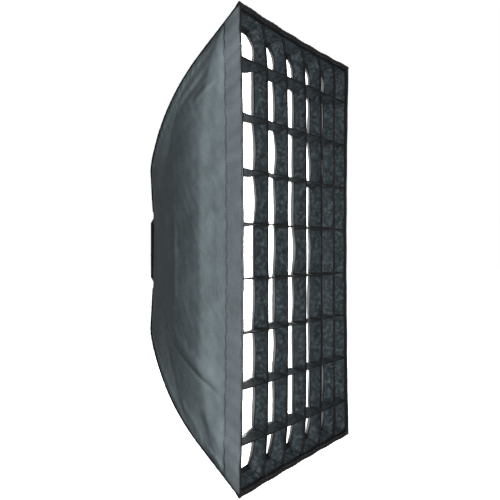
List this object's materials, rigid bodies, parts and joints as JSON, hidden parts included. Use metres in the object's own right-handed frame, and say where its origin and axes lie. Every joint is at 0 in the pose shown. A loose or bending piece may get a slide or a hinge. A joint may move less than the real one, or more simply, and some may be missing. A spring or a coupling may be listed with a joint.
{
  "type": "strip softbox",
  "caption": "Rectangular rod-and-ring softbox with a rotating bayonet speed ring, silver-lined black walls, front diffuser and a removable egg-crate fabric grid.",
  "frame": {"origin": "centre of the lamp opening on the seat face of the bayonet insert, the face that meets the lamp head", "axes": "+Y along the lamp axis towards the lamp, so the light leaves along -Y; +Z along the long side of the front; +X completes the right-handed frame"},
  "size_m": [0.6026, 0.348, 0.9024],
  "materials": {
    "insert_alloy": "satin machined",
    "black_metal": "satin black anodised",
    "screw_steel": "plain",
    "washer_plastic": "matte",
    "socket_alloy": "satin",
    "spring_steel": "drawn wire",
    "black_plastic": "matte",
    "webbing": "woven webbing",
    "cover_nylon": "black coated nylon",
    "silver_lining": "metallised silver cloth",
    "binding_tape": "grosgrain tape",
    "hook_tape": "hook and loop pile",
    "white_cloth": "white translucent nylon",
    "grid_cloth": "black coated nylon strip"
  },
  "bodies": {
    "mount": {"bayonet_insert": "insert_alloy", "bayonet_neck": "insert_alloy", "retainer_ring": "black_metal", "retainer_screws": "screw_steel", "glide_washer": "washer_plastic"},
    "shell": {"speedring_plate": "black_metal", "rod_socket_upper_left": "socket_alloy", "rod_socket_upper_right": "socket_alloy", "rod_socket_lower_left": "socket_alloy", "rod_socket_lower_right": "socket_alloy", "socket_screws": "screw_steel", "rod_upper_left": "spring_steel", "rod_upper_right": "spring_steel", "rod_lower_left": "spring_steel", "rod_lower_right": "spring_steel", "rod_tips": "black_plastic", "corner_pockets": "webbing", "panel_left": "cover_nylon", "panel_right": "cover_nylon", "panel_top": "cover_nylon", "panel_bottom": "cover_nylon", "lining_left": "silver_lining", "lining_right": "silver_lining", "lining_top": "silver_lining", "lining_bottom": "silver_lining", "edge_binding_upper_left": "binding_tape", "edge_binding_upper_right": "binding_tape", "edge_binding_lower_left": "binding_tape", "edge_binding_lower_right": "binding_tape", "rim_binding": "binding_tape", "ring_collar": "binding_tape", "grid_loop_tape": "hook_tape", "diffuser_loop_tape": "hook_tape", "baffle_cloth": "white_cloth", "baffle_straps": "webbing", "baffle_loops": "hook_tape"},
    "top_stem": {"top_lock_stem": "screw_steel"},
    "top_knob": {"top_lock_knob": "black_plastic"},
    "bottom_stem": {"bottom_lock_stem": "screw_steel"},
    "bottom_knob": {"bottom_lock_knob": "black_plastic"},
    "diffuser": {"diffuser_cloth": "white_cloth", "diffuser_hem": "white_cloth", "diffuser_hook_tape": "hook_tape"},
    "grid": {"grid_vertical_1": "grid_cloth", "grid_vertical_2": "grid_cloth", "grid_vertical_3": "grid_cloth", "grid_vertical_4": "grid_cloth", "grid_vertical_5": "grid_cloth", "grid_horizontal_1": "grid_cloth", "grid_horizontal_2": "grid_cloth", "grid_horizontal_3": "grid_cloth", "grid_horizontal_4": "grid_cloth", "grid_horizontal_5": "grid_cloth", "grid_horizontal_6": "grid_cloth", "grid_horizontal_7": "grid_cloth", "grid_horizontal_8": "grid_cloth", "grid_border": "grid_cloth", "grid_hook_tape": "hook_tape"}
  },
  "joints": [
    {"name": "ring_rotation", "type": "hinge", "parent": "mount", "child": "shell", "pos_m": [0, 0, 0], "axis": [0, 1, 0], "continuous": true},
    {"name": "top_lock_travel", "type": "slide", "parent": "shell", "child": "top_stem", "axis": [0, 0, 1], "range_m": [0, 0.002]},
    {"name": "top_lock_turn", "type": "hinge", "parent": "top_stem", "child": "top_knob", "pos_m": [0, -0.0127, 0.084], "axis": [0, 0, 1], "range_deg": [0, 720]},
    {"name": "bottom_lock_travel", "type": "slide", "parent": "shell", "child": "bottom_stem", "axis": [0, 0, -1], "range_m": [0, 0.002]},
    {"name": "bottom_lock_turn", "type": "hinge", "parent": "bottom_stem", "child": "bottom_knob", "pos_m": [0, -0.0127, -0.084], "axis": [0, 0, -1], "range_deg": [0, 720]},
    {"name": "diffuser_pull", "type": "slide", "parent": "shell", "child": "diffuser", "axis": [0, -1, 0], "range_m": [0, 0.2]},
    {"name": "grid_pull", "type": "slide", "parent": "diffuser", "child": "grid", "axis": [0, -1, 0], "range_m": [0, 0.2]}
  ],
  "couplings": [
    {"joint": "top_lock_turn", "follows": "top_lock_travel", "rad_per_m": 6283},
    {"joint": "bottom_lock_turn", "follows": "bottom_lock_travel", "rad_per_m": 6283}
  ]
}
